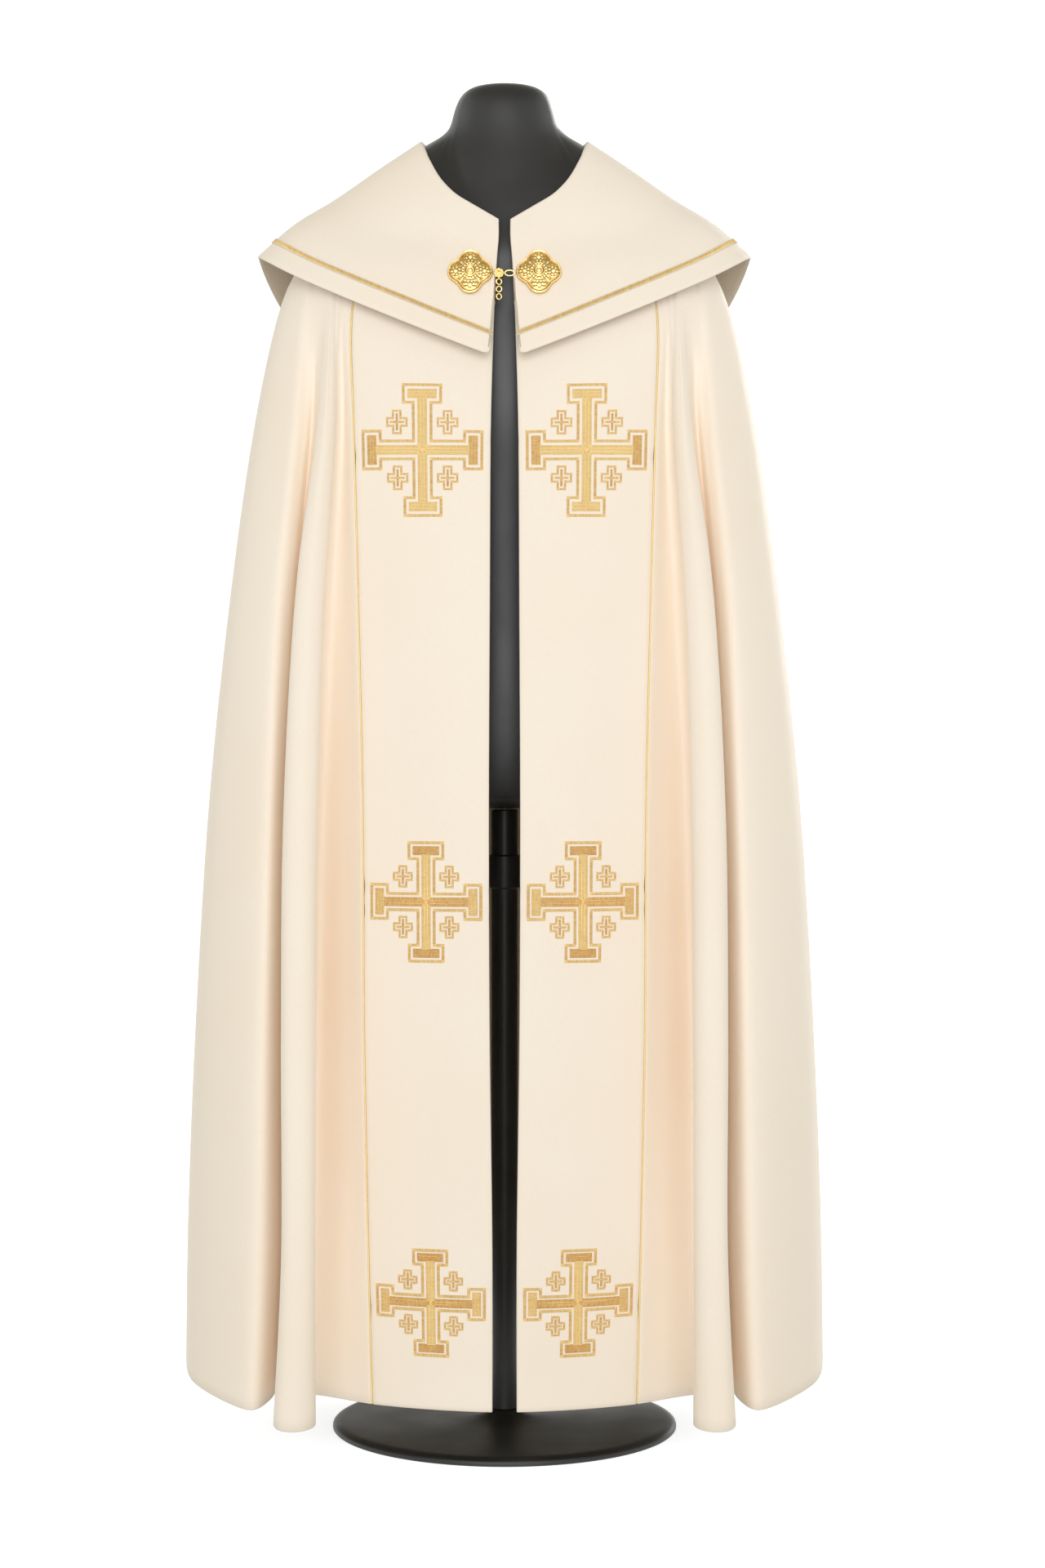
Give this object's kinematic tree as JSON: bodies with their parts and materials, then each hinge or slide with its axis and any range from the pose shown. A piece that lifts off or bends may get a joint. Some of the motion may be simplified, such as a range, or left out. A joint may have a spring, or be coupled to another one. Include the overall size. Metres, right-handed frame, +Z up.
{
  "type": "cope vestment on a dress form",
  "caption": "Open-fronted cope with a cape collar, crosses embroidered down both front bands and a gilt clasp, hanging in folds on a plain limbless dress form",
  "frame": {"origin": "on the floor, under the middle of the whole part's box", "axes": "+Z is up, the cope's open front faces -Y and +X is to the right as seen from the front"},
  "size_m": [0.784, 0.58, 1.642],
  "materials": {
    "ivory_cloth": "smooth matt ivory cloth with a fine weave and a soft sheen",
    "collar_cloth": "the same ivory cloth, stiffened, with a grey-beige lining underneath",
    "gold_thread": "metallic gold machine embroidery, cord and flat braid",
    "gilt_metal": "polished gilt casting with shallow floral relief",
    "form_black": "smooth satin black",
    "stand_steel": "black powder coat"
  },
  "bodies": {
    "root": {"mantle_left": "ivory_cloth", "orphrey_left": "ivory_cloth", "collar_left": "collar_cloth", "piping_left": "gold_thread", "braid_left": "gold_thread", "clasp_plate_left": "gilt_metal", "cross_left_top": "gold_thread", "cross_outline_left_top": "gold_thread", "small_cross_left_top_1": "gold_thread", "small_cross_left_top_2": "gold_thread", "small_cross_left_top_3": "gold_thread", "small_cross_left_top_4": "gold_thread", "cross_left_middle": "gold_thread", "cross_outline_left_middle": "gold_thread", "small_cross_left_middle_1": "gold_thread", "small_cross_left_middle_2": "gold_thread", "small_cross_left_middle_3": "gold_thread", "small_cross_left_middle_4": "gold_thread", "cross_left_bottom": "gold_thread", "cross_outline_left_bottom": "gold_thread", "small_cross_left_bottom_1": "gold_thread", "small_cross_left_bottom_2": "gold_thread", "small_cross_left_bottom_3": "gold_thread", "small_cross_left_bottom_4": "gold_thread", "mantle_right": "ivory_cloth", "orphrey_right": "ivory_cloth", "collar_right": "collar_cloth", "piping_right": "gold_thread", "braid_right": "gold_thread", "clasp_plate_right": "gilt_metal", "cross_right_top": "gold_thread", "cross_outline_right_top": "gold_thread", "small_cross_right_top_1": "gold_thread", "small_cross_right_top_2": "gold_thread", "small_cross_right_top_3": "gold_thread", "small_cross_right_top_4": "gold_thread", "cross_right_middle": "gold_thread", "cross_outline_right_middle": "gold_thread", "small_cross_right_middle_1": "gold_thread", "small_cross_right_middle_2": "gold_thread", "small_cross_right_middle_3": "gold_thread", "small_cross_right_middle_4": "gold_thread", "cross_right_bottom": "gold_thread", "cross_outline_right_bottom": "gold_thread", "small_cross_right_bottom_1": "gold_thread", "small_cross_right_bottom_2": "gold_thread", "small_cross_right_bottom_3": "gold_thread", "small_cross_right_bottom_4": "gold_thread", "clasp_hook": "gilt_metal", "clasp_ring": "gilt_metal", "clasp_link_1": "gilt_metal", "clasp_link_2": "gilt_metal", "clasp_link_3": "gilt_metal", "dress_form": "form_black", "stand_pole": "stand_steel", "stand_base": "stand_steel"}
  },
  "joints": []
}
